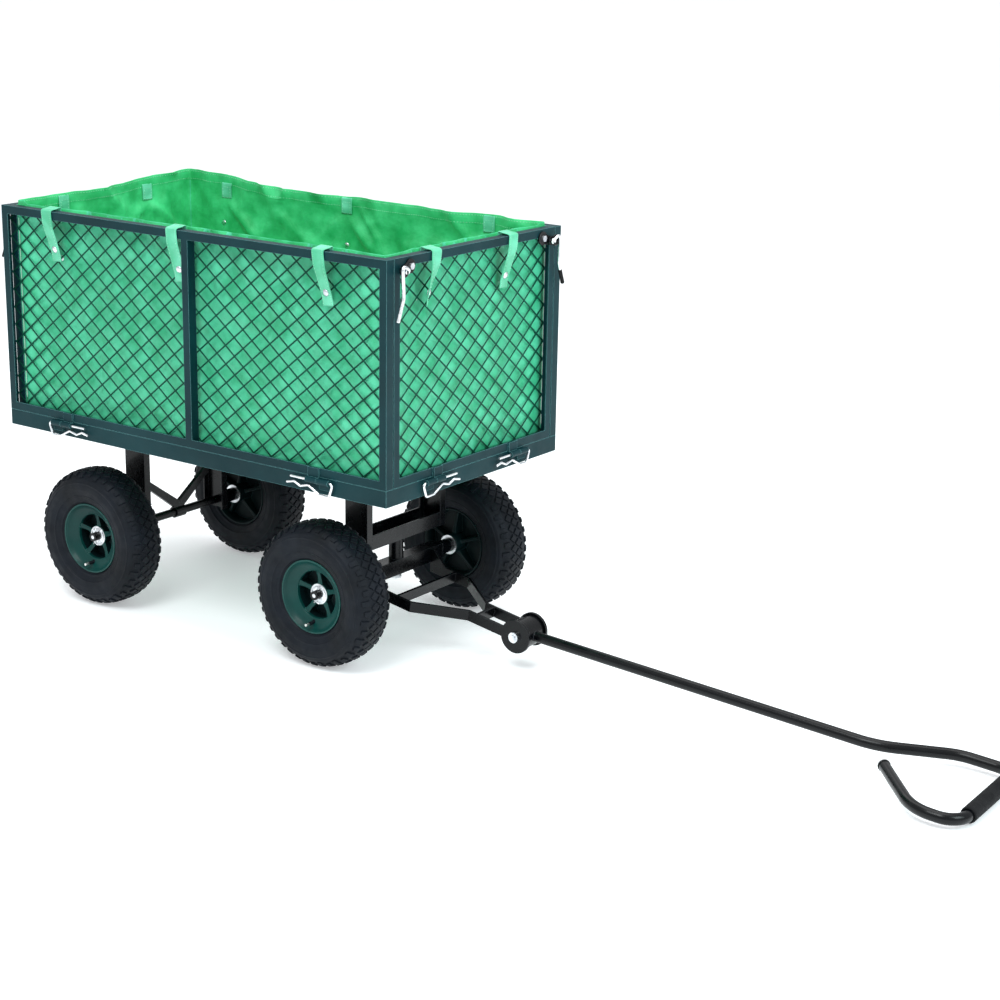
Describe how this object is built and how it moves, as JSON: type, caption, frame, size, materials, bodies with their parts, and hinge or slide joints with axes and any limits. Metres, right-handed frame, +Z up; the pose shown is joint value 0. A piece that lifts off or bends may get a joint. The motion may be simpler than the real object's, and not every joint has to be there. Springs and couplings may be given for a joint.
{
  "type": "garden cart",
  "caption": "Steel mesh garden cart with drop sides, fabric liner, pneumatic wheels, kingpin steering and a tow handle.",
  "frame": {"origin": "on the ground, under the middle of the overall length with the tow handle laid down in front", "axes": "+X towards the tow handle, +Y to the cart's left, +Z up"},
  "size_m": [1.9448, 0.5168, 0.7429],
  "materials": {
    "frame_paint": "satin dark teal powder coat",
    "mesh_paint": "satin dark teal powder coat",
    "black_paint": "semi-gloss black powder coat",
    "rim_paint": "gloss dark green paint",
    "zinc": "bright zinc plate",
    "zinc_wire": "bright zinc-plated wire",
    "bearing_steel": "plain steel",
    "tyre": "black rubber, block tread",
    "liner_fabric": "coated woven fabric, green",
    "strap_fabric": "coated woven fabric, green",
    "foam": "closed-cell foam, black",
    "cap_plastic": "black plastic"
  },
  "bodies": {
    "chassis": {"bed_frame": "frame_paint", "bed_cross_members": "frame_paint", "bed_floor_mesh": "mesh_paint", "rear_legs": "black_paint", "rear_braces": "black_paint", "rear_axle": "black_paint", "rear_axle_fasteners": "zinc", "front_legs": "black_paint", "upper_beam": "black_paint", "kingpin_bolt": "zinc"},
    "steering": {"steering_beam": "black_paint", "front_stub_axles": "black_paint", "front_axle_fasteners": "zinc", "tow_frame": "black_paint", "hitch_bolt": "zinc"},
    "handle": {"tow_handle": "black_paint", "handle_grip": "foam", "handle_end_cap": "cap_plastic"},
    "liner": {"liner": "liner_fabric", "liner_straps": "strap_fabric", "strap_studs": "zinc"},
    "wheel_front_right": {"front_right_tyre": "tyre", "front_right_rim": "rim_paint", "front_right_bearings": "bearing_steel"},
    "wheel_front_left": {"front_left_tyre": "tyre", "front_left_rim": "rim_paint", "front_left_bearings": "bearing_steel"},
    "wheel_rear_right": {"rear_right_tyre": "tyre", "rear_right_rim": "rim_paint", "rear_right_bearings": "bearing_steel"},
    "wheel_rear_left": {"rear_left_tyre": "tyre", "rear_left_rim": "rim_paint", "rear_left_bearings": "bearing_steel"},
    "panel_right": {"right_panel_frame": "frame_paint", "right_panel_mesh": "mesh_paint"},
    "panel_left": {"left_panel_frame": "frame_paint", "left_panel_mesh": "mesh_paint"},
    "panel_front": {"front_panel_frame": "frame_paint", "front_panel_mesh": "mesh_paint", "front_latch_brackets": "black_paint", "front_latch_bolts": "zinc"},
    "panel_rear": {"rear_panel_frame": "frame_paint", "rear_panel_mesh": "mesh_paint", "rear_latch_brackets": "black_paint", "rear_latch_bolts": "zinc"},
    "lever_front_a": {"front_latch_lever_a": "zinc_wire"},
    "lever_front_b": {"front_latch_lever_b": "zinc_wire"},
    "lever_rear_a": {"rear_latch_lever_a": "zinc_wire"},
    "lever_rear_b": {"rear_latch_lever_b": "zinc_wire"},
    "clip_right_a": {"right_clip_a": "zinc_wire"},
    "clip_right_b": {"right_clip_b": "zinc_wire"},
    "clip_left_a": {"left_clip_a": "zinc_wire"},
    "clip_left_b": {"left_clip_b": "zinc_wire"},
    "clip_front_a": {"front_clip_a": "zinc_wire"},
    "clip_front_b": {"front_clip_b": "zinc_wire"},
    "clip_rear_a": {"rear_clip_a": "zinc_wire"},
    "clip_rear_b": {"rear_clip_b": "zinc_wire"}
  },
  "joints": [
    {"name": "steer", "type": "hinge", "parent": "chassis", "child": "steering", "pos_m": [-0.222, 0, 0.13], "axis": [0, 0, 1], "range_deg": [-40, 40]},
    {"name": "handle_pitch", "type": "hinge", "parent": "steering", "child": "handle", "pos_m": [0.065, 0, 0.063], "axis": [0, 1, 0], "range_deg": [-90, 0]},
    {"name": "spin_front_right", "type": "hinge", "parent": "steering", "child": "wheel_front_right", "pos_m": [-0.222, -0.204, 0.13], "axis": [0, 1, 0], "continuous": true},
    {"name": "spin_front_left", "type": "hinge", "parent": "steering", "child": "wheel_front_left", "pos_m": [-0.222, 0.204, 0.13], "axis": [0, 1, 0], "continuous": true},
    {"name": "spin_rear_right", "type": "hinge", "parent": "chassis", "child": "wheel_rear_right", "pos_m": [-0.767, -0.204, 0.13], "axis": [0, 1, 0], "continuous": true},
    {"name": "spin_rear_left", "type": "hinge", "parent": "chassis", "child": "wheel_rear_left", "pos_m": [-0.767, 0.204, 0.13], "axis": [0, 1, 0], "continuous": true},
    {"name": "fold_right", "type": "hinge", "parent": "chassis", "child": "panel_right", "pos_m": [-0.5, -0.253, 0.347], "axis": [1, 0, 0], "range_deg": [0, 110]},
    {"name": "fold_left", "type": "hinge", "parent": "chassis", "child": "panel_left", "pos_m": [-0.5, 0.253, 0.347], "axis": [-1, 0, 0], "range_deg": [0, 110]},
    {"name": "fold_front", "type": "hinge", "parent": "chassis", "child": "panel_front", "pos_m": [-0.041, 0, 0.347], "axis": [0, 1, 0], "range_deg": [0, 110]},
    {"name": "fold_rear", "type": "hinge", "parent": "chassis", "child": "panel_rear", "pos_m": [-0.959, 0, 0.347], "axis": [0, -1, 0], "range_deg": [0, 110]},
    {"name": "latch_front_a", "type": "hinge", "parent": "panel_front", "child": "lever_front_a", "pos_m": [-0.047, -0.206, 0.716], "axis": [-1, 0, 0], "range_deg": [0, 100]},
    {"name": "latch_front_b", "type": "hinge", "parent": "panel_front", "child": "lever_front_b", "pos_m": [-0.047, 0.206, 0.716], "axis": [1, 0, 0], "range_deg": [0, 100]},
    {"name": "latch_rear_a", "type": "hinge", "parent": "panel_rear", "child": "lever_rear_a", "pos_m": [-0.953, 0.206, 0.716], "axis": [1, 0, 0], "range_deg": [0, 100]},
    {"name": "latch_rear_b", "type": "hinge", "parent": "panel_rear", "child": "lever_rear_b", "pos_m": [-0.953, -0.206, 0.716], "axis": [-1, 0, 0], "range_deg": [0, 100]},
    {"name": "liner_lift", "type": "slide", "parent": "chassis", "child": "liner", "axis": [0, 0, 1], "range_m": [0, 0.4], "deforming": ["liner_straps", "strap_studs"]},
    {"name": "pull_right_a", "type": "slide", "parent": "chassis", "child": "clip_right_a", "axis": [-1, 0, 0], "range_m": [0, 0.092]},
    {"name": "pull_right_b", "type": "slide", "parent": "chassis", "child": "clip_right_b", "axis": [1, 0, 0], "range_m": [0, 0.092]},
    {"name": "pull_left_a", "type": "slide", "parent": "chassis", "child": "clip_left_a", "axis": [1, 0, 0], "range_m": [0, 0.092]},
    {"name": "pull_left_b", "type": "slide", "parent": "chassis", "child": "clip_left_b", "axis": [-1, 0, 0], "range_m": [0, 0.092]},
    {"name": "pull_front_a", "type": "slide", "parent": "chassis", "child": "clip_front_a", "axis": [0, -1, 0], "range_m": [0, 0.092]},
    {"name": "pull_front_b", "type": "slide", "parent": "chassis", "child": "clip_front_b", "axis": [0, 1, 0], "range_m": [0, 0.092]},
    {"name": "pull_rear_a", "type": "slide", "parent": "chassis", "child": "clip_rear_a", "axis": [0, 1, 0], "range_m": [0, 0.092]},
    {"name": "pull_rear_b", "type": "slide", "parent": "chassis", "child": "clip_rear_b", "axis": [0, -1, 0], "range_m": [0, 0.092]}
  ]
}
